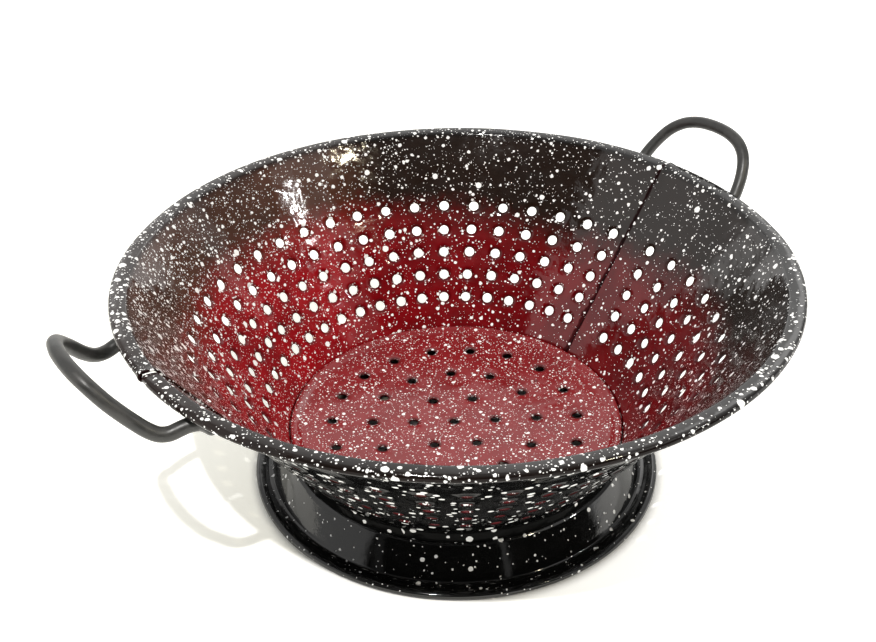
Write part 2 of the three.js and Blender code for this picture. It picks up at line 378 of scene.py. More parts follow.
    # perforated cells
    for k in range(22):
        for row, hole_r in enumerate(HOLE_ROWS):
            j0, j1 = cell_first + k * NX, cell_first + (k + 1) * NX
            i0, i1 = first_row + row * NY, first_row + (row + 1) * NY
            loop = (
                [(j, i0) for j in range(j0, j1)] + [(j1, i) for i in range(i0, i1)]
                + [(j, i1) for j in range(j1, j0, -1)] + [(j0, i) for i in range(i1, i0, -1)]
            )
            ca = rail(k, hole_r) + math.degrees(0.25 * (chance(k, row, key) - 0.5) / hole_r)
            cq = _q_by_height(Z0 + (hole_r - CONE_AT_Z0) / SLOPE) + 0.25 * (chance(k, row, key + 2) - 0.5)
            depth = 0.26 + 0.22 * chance(k, row, key + 5)
            tilt = 6.283 * chance(k, row, key + 7)
            lean = 0.10 * chance(k, row, key + 8)
            grow = 0.97 + 0.07 * chance(k, row, key + 9)
            local = []
            for j, i in loop:
                local.append(((az[j, i] - ca) * math.radians(1) * sect[i][0], rows[i] - cq))
            angles = [math.atan2(y, x) for x, y in local]

            def ring(radius, side, drop, halo, blend=0.0):
                made = []
                for (x, y), t, (j, i) in zip(local, angles, loop):
                    px = radius * math.cos(t) * (1 - blend) + x * blend
                    py = radius * math.sin(t) * (1 - blend) + y * blend
                    q = cq + py
                    sec = section(q)
                    a = ca + math.degrees(px / sec[0])
                    near = 1 - smooth(math.hypot(px, py), 2.8, 4.25)
                    lift = disp[j, i] * blend + drop * (1 + lean * 2 * math.cos(t - tilt)) * near
                    made.append(m.vertex(point(a, q, side, lift, sec), **values(a, q, side, halo, sec)))
                return made

            edge = 2.88 * grow
            loops = []
            for side in (1, 0):
                radii = [edge, edge + 0.3, edge + 0.62, edge + 0.95, edge + 1.25] if side else [edge, edge + 0.5, edge + 1.15]
                # each hole's rings carry the dark-edge value, fading out over about 1.6 mm: darker enamel at the hole's
                # rim with painted shade in the dimple
                rings = [ring(rr, side, -depth, 1 - smooth(rr, edge + 0.15, edge + 1.75)) for rr in radii]
                for blend in (0.4, 0.75) if side else (0.5,):
                    rings.append(ring(radii[-1], side, -depth, 0.0, blend))
                rings.append([at(j, i, side) for j, i in loop])
                for one, two in zip(rings, rings[1:]):
                    m.strip(one, two, closed=True)
                loops.append(rings[0])
            # the rounded edge of the hole
            between = [loops[0]]
            for tilt_deg in (55, 20, -20, -55):
                c, s = math.cos(math.radians(tilt_deg)), math.sin(math.radians(tilt_deg))
                made = []
                for t in angles:
                    rr = edge - 0.43 * grow * c
                    q = cq + rr * math.sin(t)
                    sec = section(q)
                    a = ca + math.degrees(rr * math.cos(t) / sec[0])
                    lift = -depth * (1 + lean * 2 * math.cos(t - tilt)) + SHEET / 2 * (s - 1)
                    v = values(a, q, 1, 1.0, sec)
                    v["inside"] = smooth(s, -0.9, 0.6)
                    made.append(m.vertex(point(a, q, 1, lift, sec), **v))
                between.append(made)
            between.append(loops[1])
            for one, two in zip(between, between[1:]):
                m.strip(one, two, closed=True)

    # the sheet's own edge, rounded by its enamel
    border = (
        [(j, 0) for j in range(n_cols - 1)] + [(n_cols - 1, i) for i in range(n_rows - 1)]
        + [(j, n_rows - 1) for j in range(n_cols - 1, 0, -1)] + [(0, i) for i in range(n_rows - 1, 0, -1)]
    )
    inner = {}
    for j, i in border:
        jj, ii = min(max(j, 1), n_cols - 2), min(max(i, 1), n_rows - 2)
        inner[(j, i)] = (jj, ii)
    chain = [[at(j, i, 1) for j, i in border]]
    for tilt_deg in (50, 0, -50):
        c, s = math.cos(math.radians(tilt_deg)), math.sin(math.radians(tilt_deg))
        made = []
        for j, i in border:
            a, b = np.array(m.co[at(j, i, 1)]), np.array(m.co[at(j, i, 0)])
            out = np.zeros(3)
            if j in (0, n_cols - 1):
                o = a - np.array(m.co[at(1 if j == 0 else n_cols - 2, i, 1)])
                out += o / max(1e-9, np.linalg.norm(o))
            if i in (0, n_rows - 1):
                o = a - np.array(m.co[at(j, 1 if i == 0 else n_rows - 2, 1)])
                out += o / max(1e-9, np.linalg.norm(o))
            out /= max(1e-9, np.linalg.norm(out))
            mid = (a + b) / 2 + (a - b) / 2 * s + out * SHEET / 2 * c
            # the sheet's cut edge carries the dark-edge value at 0.6: darker enamel with painted shade
            v = values(az[j, i], rows[i], 1 if i else 0, 0.6, sect[i])
            made.append(m.vertex(tuple(mid), seam=seam[j, i], **v))
        chain.append(made)
    chain.append([at(j, i, 0) for j, i in border])
    for one, two in zip(chain, chain[1:]):
        m.strip(one, two, closed=True)
    return m.make(name + "_wall_panel")


# ---------------------------------------------------------------- bottom disc
def dish(r):
    return 20.39 + 0.00052 * r * r


def spline(points, step=0.35):
    """Centripetal Catmull-Rom through the points, evenly sampled."""
    p = [np.array(q, float) for q in points]
    p = [2 * p[0] - p[1]] + p + [2 * p[-1] - p[-2]]
    made = []
    for a, b, c, d in zip(p, p[1:], p[2:], p[3:]):
        t1 = np.linalg.norm(b - a) ** 0.5
        t2 = t1 + np.linalg.norm(c - b) ** 0.5
        t3 = t2 + np.linalg.norm(d - c) ** 0.5
        n = max(2, int(round(np.linalg.norm(c - b) / step)))
        for k in range(n):
            t = t1 + (t2 - t1) * k / n
            a1 = a * (t1 - t) / t1 + b * t / t1
            a2 = b * (t2 - t) / (t2 - t1) + c * (t - t1) / (t2 - t1)
            a3 = c * (t3 - t) / (t3 - t2) + d * (t - t2) / (t3 - t2)
            b1 = a1 * (t2 - t) / t2 + a2 * t / t2
            b2 = a2 * (t3 - t) / (t3 - t1) + a3 * (t - t1) / (t3 - t1)
            made.append(b1 * (t2 - t) / (t2 - t1) + b2 * (t - t1) / (t2 - t1))
    made.append(p[-2])
    return made


def bottom_disc():
    m = Mesh(("inside", "halo"))
    turns, edge_r = 220, 71.0
    # plan points of the perforated middle
    flat, fixed, edges = [], [], []
    circle = [(edge_r * math.sin(2 * math.pi * k / turns), -edge_r * math.cos(2 * math.pi * k / turns)) for k in range(turns)]
    flat += circle
    edges += [(k, (k + 1) % turns) for k in range(turns)]
    halo = [0.0] * turns
    drop = [0.0] * turns
    holes = []
    sides = 32
    for n, (hx, hy) in enumerate(FLOOR_HOLES):
        turn = 6.283 * chance(n, 3)
        depth = 0.10 + 0.18 * chance(n, 5)
        grow = 0.96 + 0.08 * chance(n, 6)
        for rr in (2.58, 2.95, 3.4, 3.95):
            start = len(flat)
            for k in range(sides):
                t = turn + 2 * math.pi * k / sides
                flat.append((hx + rr * grow * math.cos(t), hy + rr * grow * math.sin(t)))
                halo.append(1 - smooth(rr, 2.6, 3.9))
                drop.append(-depth * (1 - smooth(rr, 2.6, 3.95)))
            if rr == 2.58:
                edges += [(start + k, start + (k + 1) % sides) for k in range(sides)]
                holes.append((start, hx, hy, turn, depth, grow))
    step = 2.6
    for a in range(-32, 33):
        for b in range(-38, 39):
            x = (a + 0.5 * (b % 2)) * step
            y = b * step * 0.866
            if math.hypot(x, y) < edge_r - 1.9 and all((x - hx) ** 2 + (y - hy) ** 2 > 5.3**2 for hx, hy in FLOOR_HOLES):
                flat.append((x, y))
                halo.append(0.0)
                drop.append(0.0)
    out = geometry.delaunay_2d_cdt([Vector(p) for p in flat], edges, [], 0, 1e-5)
    verts, _, tris, origin = out[0], out[1], out[2], out[3]
    source = [o[0] if o else 0 for o in origin]
    keep = []
    for f in tris:
        cx = sum(verts[v][0] for v in f) / len(f)
        cy = sum(verts[v][1] for v in f) / len(f)
        if any((cx - h[1]) ** 2 + (cy - h[2]) ** 2 < (2.56 * h[5]) ** 2 for h in holes):
            continue
        keep.append(f)
    level = {}

    def spot(x, y, side, lift):
        r = math.hypot(x, y)
        w = 0.22 * noise.noise(Vector((x / 30, y / 30, 1.5))) + 0.06 * noise.noise(Vector((x / 11, y / 11, 4.5)))
        return (x, y, dish(r) + w * (1 - smooth(r, 62, 71)) + lift - (SHEET if side == 0 else 0.0))

    for side in (1, 0):
        for v, s in enumerate(source):
            x, y = verts[v]
            level[(v, side)] = m.vertex(spot(x, y, side, drop[s]), inside=side, halo=halo[s])
        for f in keep:
            ids = [level[(v, side)] for v in f]
            m.faces.append(tuple(ids if side else reversed(ids)))
    where = {}
    for v, s in enumerate(source):
        where[s] = v
    for start, hx, hy, turn, depth, grow in holes:
        chain = [[level[(where[start + k], 1)] for k in range(sides)]]
        for tilt_deg in (55, 20, -20, -55):
            c, s = math.cos(math.radians(tilt_deg)), math.sin(math.radians(tilt_deg))
            made = []
            for k in range(sides):
                t = turn + 2 * math.pi * k / sides
                rr = 2.58 * grow - 0.42 * c
                x, y = hx + rr * math.cos(t), hy + rr * math.sin(t)
                made.append(m.vertex(spot(x, y, 1, -depth + SHEET / 2 * (s - 1)), inside=smooth(s, -0.9, 0.6), halo=1.0))
            chain.append(made)
        chain.append([level[(where[start + k], 0)] for k in range(sides)])
        for one, two in zip(chain, chain[1:]):
            # wound so that the faces run the same way as the plate's
            for k in range(sides):
                n = (k + 1) % sides
                m.faces.append((one[n], one[k], two[k], two[n]))
    # edge band and flange, turned
    over = spline([
        (edge_r, dish(edge_r)), (73.4, dish(73.4)), (74.9, 23.42), (76.1, 24.0), (77.3, 24.5), (78.5, 24.68),
        (79.5, 24.35), (80.05, 23.6), (80.2, 22.6), (80.2, 20.5), (80.2, 19.2),
    ])
    under = spline([
        (79.0, 19.2), (79.0, 20.8), (79.0, 22.1), (78.6, 22.95), (77.7, 23.3), (76.6, 22.95), (75.4, 22.45),
        (73.6, dish(73.4) - SHEET), (edge_r, dish(edge_r) - SHEET),
    ])
    turned = [(p[0], p[1], 1.0) for p in over]
    turned += [(79.6 + 0.6 * math.cos(a), 19.2 - 0.7 * math.sin(a), 0.5) for a in (0.6, 1.57, 2.54)]
    turned += [(p[0], p[1], 0.0) for p in under]
    previous = [level[(where[k], 1)] for k in range(turns)]
    for n, (r, z, side) in enumerate(turned[1:]):
        if n == len(turned) - 2:
            now = [level[(where[k], 0)] for k in range(turns)]
        else:
            now = []
            for k in range(turns):
                a = 360.0 * k / turns
                p = polar(r, a, z)
                w = waviness(p, 0.7) * smooth(r, 71.5, 76)
                # where the flange meets the wall's collar it carries the dark-edge value: painted shade in the joint
                now.append(m.vertex((p[0], p[1], p[2] + w), inside=side, halo=0.35 * smooth(r, 79.2, 80.0) * (side > 0.4)))
        for k in range(turns):
            n2 = (k + 1) % turns
            m.faces.append((previous[k], now[k], now[n2], previous[n2]))
        previous = now
    return m.make("perforated_disc")


# ---------------------------------------------------------------- foot ring
def rounded(points, radii, step=0.22):
    """A closed outline with each corner rounded by its own radius."""
    made, n = [], len(points)
    for i in range(n):
        p, a, b = (np.array(points[k % n], float) for k in (i, i - 1, i + 1))
        u, v = (a - p), (b - p)
        lu, lv = np.linalg.norm(u), np.linalg.norm(v)
        u, v = u / lu, v / lv
        angle = math.acos(max(-1, min(1, float(u @ v))))
        if angle > 3.1:
            made.append(p)
            continue
        cut = min(radii[i] / math.tan(angle / 2), 0.46 * lu, 0.46 * lv)
        radius = cut * math.tan(angle / 2)
        centre = p + (u + v) / np.linalg.norm(u + v) * (radius / math.sin(angle / 2))
        a0 = math.atan2(*(p + u * cut - centre)[::-1])
        a1 = math.atan2(*(p + v * cut - centre)[::-1])
        turn = (a1 - a0 + math.pi) % (2 * math.pi) - math.pi
        k = max(3, int(abs(turn) * radius / step))
        for t in range(k + 1):
            c = a0 + turn * t / k
            made.append(centre + radius * np.array([math.cos(c), math.sin(c)]))
    # long straight stretches get a few points of their own
    full = []
    for a, b in zip(made, made[1:] + made[:1]):
        full.append(a)
        long = np.linalg.norm(b - a)
        for t in range(1, int(long / 1.6) + 1):
            full.append(a + (b - a) * t / (int(long / 1.6) + 1))
    return full


def foot_ring():
    m = Mesh(("halo",))
    outline = [
        (77.4, 22.3), (77.4, 16.2), (80.9, 16.0), (88.7, 2.2), (90.4, 1.0), (94.3, 1.2), (95.6, 0.0),
        (97.4, 0.0), (98.5, 1.2), (98.2, 2.9), (96.4, 3.75), (93.9, 3.3), (92.3, 2.25), (90.2, 2.5),
        (82.3, 16.5), (81.2, 17.4), (78.6, 17.4), (78.6, 22.3),
    ]
    radii = [0.55, 0.5, 1.0, 1.2, 1.0, 1.0, 0.6, 0.7, 0.9, 1.2, 1.6, 1.4, 0.9, 1.6, 1.1, 0.7, 0.3, 0.55]
    turned = rounded(outline, radii)
    turns = 256
    loops = []
    for r, z in turned:
        ids = []
        for k in range(turns):
            a = 360.0 * k / turns
            p = Vector(polar(r, a, z))
            w = 0.10 * noise.noise(p / 42.0) + 0.035 * noise.noise(p / 13.0)
            w *= smooth(z, 0.4, 3.0) * (1 - smooth(z, 16.0, 17.2))
            ids.append(m.vertex(polar(r + w, a, z + 0.5 * w), halo=0.0))
        loops.append(ids)
    for one, two in zip(loops, loops[1:] + loops[:1]):
        m.strip(one, two, closed=True)
    return m.make("flared_foot_ring")


# ---------------------------------------------------------------- wire handles
def wire_handle(name, half, azimuth):
    m = Mesh(("foot",))
    a = math.radians(azimuth)
    along = np.array([math.sin(a), -math.cos(a)])
    side = np.array([-along[1], along[0]])

    def place(p, s):
        o, c, z = p
        xy = along * o + side * c * s
        return (xy[0], xy[1], z)

    points = [place(p, 1) for p in half] + [place(p, -1) for p in half[-2::-1]]
    line = spline(points, 1.0)
    line = [np.array(p) for p in line]
    total = len(line)
    tangent = [line[min(k + 1, total - 1)] - line[max(k - 1, 0)] for k in range(total)]
    tangent = [t / np.linalg.norm(t) for t in tangent]
    up = np.array([0.0, 0.0, 1.0])
    frames, n = [], up - tangent[0] * (up @ tangent[0])
    for t in tangent:
        n = n - t * (n @ t)
        n /= np.linalg.norm(n)
        frames.append((n, np.cross(t, n)))
    sides = 28
    rings = []
    ends = [(-2.55, 0.42), (-2.1, 0.72), (-1.45, 0.9), (-0.7, 0.985)]
    stations = [(line[0] + tangent[0] * (e + 2.55), s, 0, 1.0) for e, s in ends]
    run = 0.0
    for k in range(total):
        if k:
            run += np.linalg.norm(line[k] - line[k - 1])
        stations.append((line[k], 1.0, k, run))
    length = run
    inside = [s for s in stations[len(ends):] if 3.0 < s[3] < length - 3.0]
    stations = [(line[0] + tangent[0] * (e + 2.6), s, 0, 0.0) for e, s in ends] + inside
    stations += [(line[-1] - tangent[-1] * (e + 2.6), s, total - 1, length) for e, s in reversed(ends)]
    for centre, scale, k, run in stations:
        u, v = frames[k]
        foot = 1 - smooth(min(run, length - run), 4.0, 13.0)
        ids = []
        for q in range(sides):
            t = 2 * math.pi * q / sides
            r = 3.0 * scale
            p = centre + (u * math.cos(t) + v * math.sin(t)) * r
            bump = 0.05 * noise.noise(Vector(p) / 7.0)
            p = p + (u * math.cos(t) + v * math.sin(t)) * bump
            ids.append(m.vertex(tuple(p), foot=foot))
        rings.append(ids)
    for one, two in zip(rings, rings[1:]):
        m.strip(one, two, closed=True)
    for ring, centre, t in ((rings[0], line[0], -tangent[0]), (rings[-1], line[-1], tangent[-1])):
        tip = m.vertex(tuple(centre + t * 0.25), foot=1.0)
        for q in range(sides):
            k = (q + 1) % sides
            m.faces.append((ring[k], ring[q], tip) if ring is rings[0] else (ring[q], ring[k], tip))
    return m.make(name)


# ---------------------------------------------------------------- shader helpers
class Graph:
    def __init__(self, tree):
        self.tree = tree
        tree.nodes.clear()

    def node(self, kind, **props):
        n = self.tree.nodes.new(kind)
        for k, v in props.items():
            setattr(n, k, v)
        return n

    def feed(self, socket, value):
        if isinstance(value, bpy.types.NodeSocket):
            self.tree.links.new(value, socket)
        else:
            socket.default_value = value

    def math(self, op, a, b=None, c=None, clamp=False):
        n = self.node("ShaderNodeMath", operation=op, use_clamp=clamp)
        for s, v in zip(n.inputs, (a, b, c)):
            if v is not None:
                self.feed(s, v)
        return n.outputs[0]

    def vec(self, op, a, b=None, scale=None):
        n = self.node("ShaderNodeVectorMath", operation=op)
        self.feed(n.inputs[0], a)
        if b is not None:
            self.feed(n.inputs[1], b)
        if scale is not None:
            self.feed(n.inputs["Scale"], scale)
        return n.outputs[0]

    def ramp(self, value, lo, hi, to_lo=0.0, to_hi=1.0):
        n = self.node("ShaderNodeMapRange", interpolation_type="SMOOTHSTEP")
        self.feed(n.inputs[0], value)
        for i, v in enumerate((lo, hi, to_lo, to_hi)):
            self.feed(n.inputs[i + 1], v)
        return n.outputs[0]

    def mix(self, fac, a, b):
        n = self.node("ShaderNodeMix", data_type="RGBA", clamp_factor=True)
        self.feed(n.inputs[0], fac)
        self.feed(n.inputs[6], a)
        self.feed(n.inputs[7], b)
        return n.outputs[2]

    def noise(self, vector, size, detail=2.0, rough=0.5, distortion=0.0):
        n = self.node("ShaderNodeTexNoise")
        self.feed(n.inputs["Vector"], vector)
        n.inputs["Scale"].default_value = 1.0 / size
        n.inputs["Detail"].default_value = detail
        n.inputs["Roughness"].default_value = rough
        n.inputs["Distortion"].default_value = distortion
        return n

    def attribute(self, name):
        return self.node("ShaderNodeAttribute", attribute_name=name).outputs["Fac"]

    def specks(self, at, cell, small, large, keep, shift, power=2.0, edge=0.05):
        """Droplets of enamel: 1 inside a droplet. Sizes in millimetres; keep is the share of cells that hold one."""
        v = self.node("ShaderNodeTexVoronoi", feature="F1")
        self.feed(v.inputs["Vector"], self.vec("ADD", at, (shift, shift * 1.7, shift * 0.6)))
        v.inputs["Scale"].default_value = 1.0 / cell
        s = self.node("ShaderNodeSeparateColor")
        self.feed(s.inputs[0], v.outputs["Color"])
        size = self.math("POWER", s.outputs[0], power)
        radius = self.math("MULTIPLY_ADD", size, large - small, small)
        away = self.math("MULTIPLY", v.outputs["Distance"], cell)
        gap = self.math("SUBTRACT", radius, away)
        mask = self.ramp(gap, -edge, edge)
        return self.math("MULTIPLY", mask, self.math("LESS_THAN", s.outputs[1], keep))


def colour(r, g, b):
    return (r, g, b, 1.0)


def material(name):
    mat = bpy.data.materials.new(name)
    mat.use_nodes = True
    g = Graph(mat.node_tree)
    out = g.node("ShaderNodeOutputMaterial")
    shader = g.node("ShaderNodeBsdfPrincipled")
    mat.node_tree.links.new(shader.outputs[0], out.inputs[0])
    at = g.vec("SCALE", g.node("ShaderNodeTexCoord").outputs["Object"], scale=1000.0)
    return mat, g, shader, at


def bump(g, height, distance, strength=1.0, normal=None):
    n = g.node("ShaderNodeBump")
    n.inputs["Strength"].default_value = strength
    n.inputs["Distance"].default_value = distance
    g.feed(n.inputs["Height"], height)
    if normal is not None:
        g.feed(n.inputs["Normal"], normal)
    return n.outputs[0]


BLACK = colour(0.0035, 0.0035, 0.0035)
DARK = colour(0.0065, 0.0042, 0.0028)
BROWN = colour(0.078, 0.030, 0.017)
WHITE = colour(0.90, 0.90, 0.89)


def enamel_surface(g, shader, at, specks, wave=1.0, peel=1.0):
    """Gloss, slow waves in the sheet and the fine orange peel of fired enamel."""
    shader.inputs["IOR"].default_value = 1.52
    slow = bump(g, g.noise(at, 17.0, 2.0, 0.45).outputs[0], 0.00050 * wave)
    mid = bump(g, g.noise(at, 4.6, 2.0, 0.5).outputs[0], 0.000085 * wave, normal=slow)
    fine = bump(g, g.noise(at, 0.95, 2.0, 0.55).outputs[0], 0.000014 * peel, normal=mid)
    drops = bump(g, specks, 0.00004, normal=fine)
    g.feed(shader.inputs["Normal"], drops)


def wall_material():
    mat, g, shader, at = material("speckled_wall_enamel")
    warp = g.noise(at, 1.3, 1.0)
    bent = g.vec("ADD", at, g.vec("SCALE", g.vec("SUBTRACT", warp.outputs["Color"], (0.5, 0.5, 0.5)), scale=0.75))
    inside, halo, fade, high, warm, seam, redness, brownness, under = (
        g.attribute(n) for n in ("inside", "halo", "fade", "high", "warm", "seam", "redness", "brown", "under")
    )

    def share(outside, rim, wall_right, wall_left):
        """How many droplet cells are filled, by place."""
        wall = g.math("MULTIPLY_ADD", warm, wall_left - wall_right, wall_right)
        food = g.math("ADD", wall, g.math("MULTIPLY", high, g.math("SUBTRACT", rim, wall)))
        return g.math("ADD", food, g.math("MULTIPLY", g.math("SUBTRACT", 1.0, inside), g.math("SUBTRACT", outside, food)))

    patchy = g.ramp(g.noise(at, 60.0, 2.0, 0.5).outputs[0], 0.35, 0.65, 0.6, 1.25)
    patchy = g.math("MULTIPLY", patchy, g.ramp(g.math("MAXIMUM", fade, high), 0.2, 0.8, 0.72, 1.0))
    tiny = g.specks(bent, 1.12, 0.11, 0.30, share(0.0, 0.40, 0.30, 1.0), 3.3, power=1.5)
    small = g.specks(bent, 1.9, 0.18, 0.56, share(0.02, 0.65, 0.40, 1.0), 11.1)
    middle = g.specks(bent, 3.35, 0.38, 1.02, g.math("MULTIPLY", patchy, share(0.20, 0.80, 0.60, 0.95)), 23.7, power=1.6)
    big = g.specks(bent, 5.6, 0.80, 1.85, g.math("MULTIPLY", patchy, share(1.0, 0.60, 0.14, 0.30)), 37.9, power=1.7)
    left = g.math("MULTIPLY", fade, g.ramp(warm, 0.45, 1.0))
    extra = g.specks(bent, 1.6, 0.15, 0.52, g.math("MULTIPLY", left, share(0.0, 0.3, 0.9, 0.9)), 61.3)
    extra2 = g.specks(bent, 2.9, 0.35, 1.0, g.math("MULTIPLY", left, share(0.0, 0.3, 0.7, 0.7)), 71.9, power=1.4)
    mask = g.math("MAXIMUM", g.math("MAXIMUM", tiny, small), g.math("MAXIMUM", middle, big))
    mask = g.math("MAXIMUM", mask, g.math("MAXIMUM", extra, extra2))
    blotch = g.noise(at, 21.0, 3.0, 0.55)
    strength = g.math("MULTIPLY", redness, g.ramp(blotch.outputs[0], 0.36, 0.66, 1.16, 0.80))
    red = g.node("ShaderNodeCombineColor")
    for socket, part in zip(red.inputs, (1.0, 0.009, 0.022)):
        g.feed(socket, g.math("MULTIPLY", strength, part))
    # painted shade: a dark red ring round each hole and along the sheet's cut edges, partly a darker rim of enamel,
    # partly shade in the dimples and crevices
    red = g.mix(g.math("MULTIPLY", halo, 0.62), red.outputs[0], colour(0.030, 0.0005, 0.0015))
    brown = g.math("MULTIPLY", brownness, g.ramp(blotch.outputs[0], 0.25, 0.60, 0.6, 1.0))
    dark = g.mix(brown, DARK, BROWN)
    dark = g.mix(g.math("MULTIPLY", high, 0.85), dark, BLACK)
    cloud = g.noise(at, 5.5, 3.0, 0.6)
    edge = g.math("ADD", fade, g.math("MULTIPLY_ADD", cloud.outputs[0], 0.44, -0.22))
    food = g.mix(g.ramp(edge, 0.04, 0.96), red, dark)
    # the lap seams are painted dark: partly the darker thin enamel at the cut edge, partly painted shade in the seam's
    # groove, darkest right at the edge
    ragged = g.math("ADD", seam, g.math("MULTIPLY_ADD", cloud.outputs[0], 1.3, -0.65))
    seam_stripe_and_shade = g.math("MULTIPLY", g.ramp(ragged, 0.30, 0.50), g.ramp(seam, 0.02, 0.12))
    seam_crevice_shade = g.math("MULTIPLY", g.ramp(ragged, 0.72, 0.92), g.ramp(seam, 0.02, 0.12))
    food = g.mix(g.math("MULTIPLY", seam_stripe_and_shade, 0.72), food, colour(0.012, 0.002, 0.003))
    food = g.mix(seam_crevice_shade, food, colour(0.005, 0.0015, 0.0015))
    base = g.mix(inside, BLACK, food)
    g.feed(shader.inputs["Base Color"], g.mix(mask, base, WHITE))
    rough = g.noise(at, 6.0, 3.0, 0.6)
    g.feed(shader.inputs["Roughness"], g.ramp(rough.outputs[0], 0.3, 0.75, 0.05, 0.13))
    # the outer face, the underside of the rim and the painted seam line shine less
    dull = g.math("MAXIMUM", g.math("MULTIPLY", under, 0.8), g.math("MULTIPLY", g.math("SUBTRACT", 1.0, inside), 0.94))
    dull = g.math("MAXIMUM", dull, g.math("MULTIPLY", seam_stripe_and_shade, 0.9))
    dull = g.math("MAXIMUM", dull, g.math("MULTIPLY", halo, 0.5))
    g.feed(shader.inputs["Specular IOR Level"], g.math("MULTIPLY_ADD", dull, -0.5, 0.5))
    enamel_surface(g, shader, at, mask, 1.25, 1.0)
    return mat


def disc_material():
    mat, g, shader, at = material("speckled_disc_enamel")
    warp = g.noise(at, 1.2, 1.0)
    bent = g.vec("ADD", at, g.vec("SCALE", g.vec("SUBTRACT", warp.outputs["Color"], (0.5, 0.5, 0.5)), scale=0.75))
    tiny = g.specks(bent, 1.10, 0.10, 0.29, 0.90, 5.3, power=1.4)
    small = g.specks(bent, 1.9, 0.19, 0.56, 1.0, 13.1, power=1.8)
    middle = g.specks(bent, 4.0, 0.38, 0.98, 0.80, 29.7, power=1.8)
    mask = g.math("MAXIMUM", g.math("MAXIMUM", tiny, small), middle)
    spots = g.specks(bent, 7.0, 0.3, 1.1, 0.30, 53.0)
    inside, halo = g.attribute("inside"), g.attribute("halo")
    blotch = g.noise(at, 19.0, 3.0, 0.55)
    red = g.mix(g.ramp(blotch.outputs[0], 0.42, 0.64), colour(0.197, 0.0035, 0.006), colour(0.168, 0.002, 0.004))
    red = g.mix(g.math("MULTIPLY", spots, 0.8), red, colour(0.07, 0.0005, 0.0015))
    # painted shade: a dark red ring round each hole and at the flange's edge, partly a darker rim of enamel, partly
    # shade in the dimples and the joint
    red = g.mix(g.math("MULTIPLY", halo, 0.75), red, colour(0.028, 0.0005, 0.001))
    base = g.mix(inside, BLACK, red)
    g.feed(shader.inputs["Base Color"], g.mix(mask, base, WHITE))
    rough = g.noise(at, 6.0, 3.0, 0.6)
    g.feed(shader.inputs["Roughness"], g.ramp(rough.outputs[0], 0.3, 0.75, 0.09, 0.20))
    enamel_surface(g, shader, at, mask, 1.0, 1.2)
    return mat


def foot_material():
    mat, g, shader, at = material("speckled_foot_enamel")
    warp = g.noise(at, 1.3, 1.0)
    bent = g.vec("ADD", at, g.vec("SCALE", g.vec("SUBTRACT", warp.outputs["Color"], (0.5, 0.5, 0.5)), scale=0.6))
    tiny = g.specks(bent, 2.4, 0.22, 0.48, 0.55, 7.3)
    big = g.specks(bent, 5.0, 0.42, 1.20, 0.72, 41.3, power=1.4)
    mask = g.math("MAXIMUM", tiny, big)
    g.feed(shader.inputs["Base Color"], g.mix(mask, BLACK, WHITE))
    rough = g.noise(at, 7.0, 3.0, 0.6)
    g.feed(shader.inputs["Roughness"], g.ramp(rough.outputs[0], 0.3, 0.75, 0.05, 0.12))
    enamel_surface(g, shader, at, mask, 0.55, 0.7)
    return mat


def handle_material():
    mat, g, shader, at = material("satin_black_wire")
    foot = g.attribute("foot")
    cloud = g.noise(at, 6.0, 3.0, 0.6)
    tint = g.mix(g.ramp(cloud.outputs[0], 0.35, 0.68), colour(0.020, 0.020, 0.019), colour(0.034, 0.033, 0.031))
    g.feed(shader.inputs["Base Color"], tint)
    rough = g.ramp(cloud.outputs[0], 0.3, 0.7, 0.33, 0.46)
    g.feed(shader.inputs["Roughness"], g.math("SUBTRACT", rough, g.math("MULTIPLY", foot, 0.2)))
    shader.inputs["IOR"].default_value = 1.5
    slow = bump(g, g.noise(at, 3.5, 2.0, 0.5).outputs[0], 0.00008)
    fine = bump(g, g.noise(at, 0.55, 2.0, 0.6).outputs[0], 0.000018, normal=slow)
    g.feed(shader.inputs["Normal"], fine)
    return mat


def floor_material():
    mat, g, shader, at = material("pale_floor_painted_glow")
    cloud = g.noise(at, 220.0, 2.0, 0.5)
    g.feed(shader.inputs["Base Color"], g.mix(cloud.outputs[0], colour(0.86, 0.86, 0.855), colour(0.88, 0.88, 0.878)))
    shader.inputs["Roughness"].default_value = 0.7
    shader.inputs["Specular IOR Level"].default_value = 0.1
    # painted light: the floor glows, warm and weaker towards the camera's left, whiter and stronger towards its right,
    # and not beneath the foot; the glow keeps the cast shadows pale and tints the left one yellow
    to_right = g.node("ShaderNodeVectorMath", operation="DOT_PRODUCT")
    g.feed(to_right.inputs[0], at)
    to_right.inputs[1].default_value = (0.81, -0.58, 0.0)
    to_right = g.ramp(to_right.outputs["Value"], -40.0, 70.0)
    g.feed(shader.inputs["Emission Color"], g.mix(to_right, colour(1.0, 0.975, 0.83), colour(1.0, 0.99, 0.94)))
    radius = g.node("ShaderNodeVectorMath", operation="LENGTH")
    g.feed(radius.inputs[0], at)
    away = g.ramp(radius.outputs["Value"], 96.0, 103.0)
    g.feed(shader.inputs["Emission Strength"], g.math("MULTIPLY", away, g.math("MULTIPLY_ADD", to_right, 0.20, 0.50)))
    return mat


# ---------------------------------------------------------------- build
wall_enamel = wall_material()
for panel, spec in PANELS.items():
    piece = wall_panel(panel, spec)
    piece.data.materials.append(wall_enamel)
    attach(piece, "root")
    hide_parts("wall_panel_" + panel)

disc = bottom_disc()
disc.data.materials.append(disc_material())
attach(disc, "root")
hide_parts("bottom_disc")

foot = foot_ring()
foot.data.materials.append(foot_material())
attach(foot, "root")
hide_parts("foot_ring")

wire = handle_material()
for name, node, half, azimuth in (
    ("left_wire_handle", "handle_left", LEFT_HANDLE, -91.9),
    ("right_wire_handle", "handle_right", RIGHT_HANDLE, 91.9),
):
    piece = wire_handle(name, half, azimuth)
    piece.data.materials.append(wire)
    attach(piece, "root")
    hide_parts(node)

